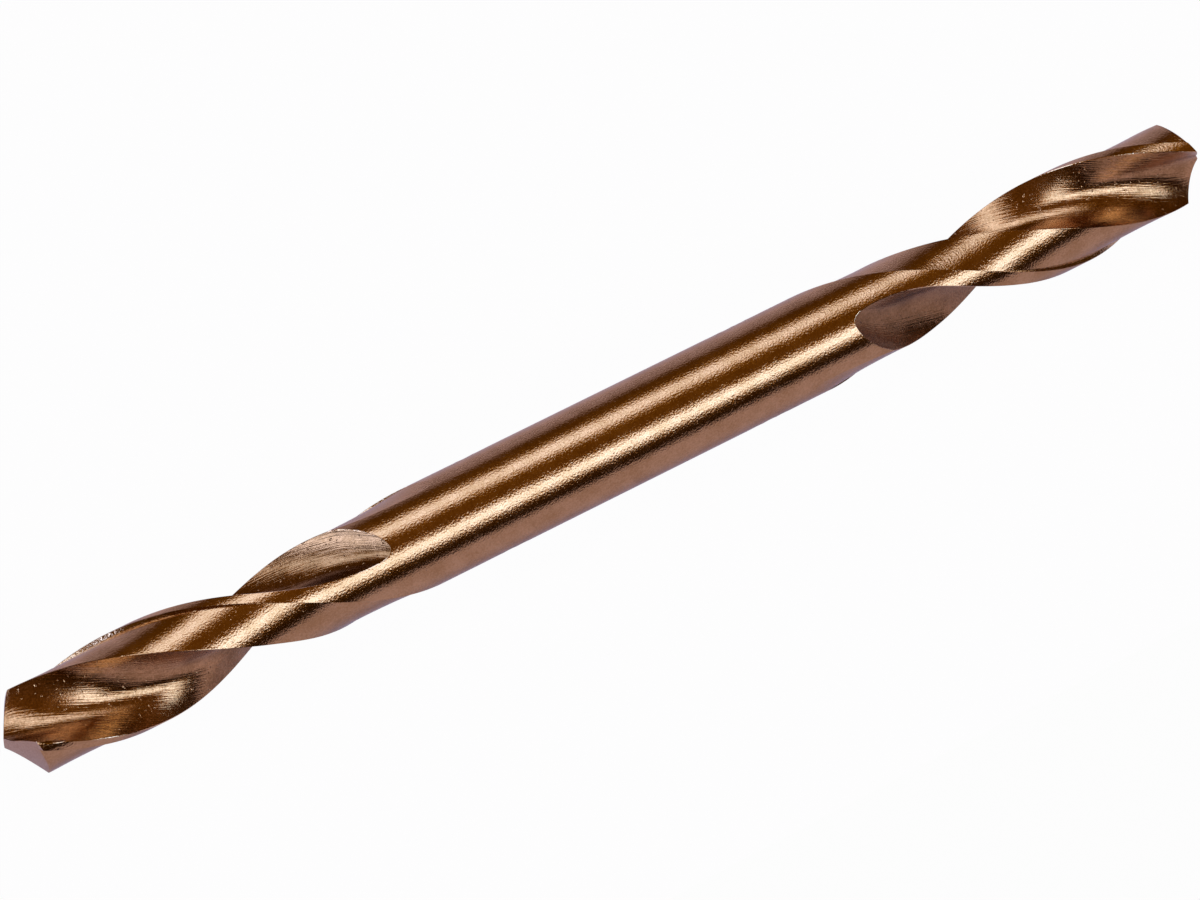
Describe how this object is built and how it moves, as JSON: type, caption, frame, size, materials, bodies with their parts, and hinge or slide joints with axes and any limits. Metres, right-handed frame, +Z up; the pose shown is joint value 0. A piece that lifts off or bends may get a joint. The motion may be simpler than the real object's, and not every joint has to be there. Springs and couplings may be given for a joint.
{
  "type": "double-ended drill bit",
  "caption": "Short round steel drill bit with a spiral-fluted cutting end and point at each end and a plain round shank between them.",
  "frame": {"origin": "on the drill's axis, half way between its two points, in the plain round shank", "axes": "+X along the drill's axis, towards the far point in the picture; +Z up as it is seen lying down; +Y away from the viewer"},
  "size_m": [0.0548, 0.004, 0.004],
  "materials": {
    "bronze_steel": "satin bronze oxide"
  },
  "bodies": {
    "root": {"drill_bit": "bronze_steel"}
  },
  "joints": []
}
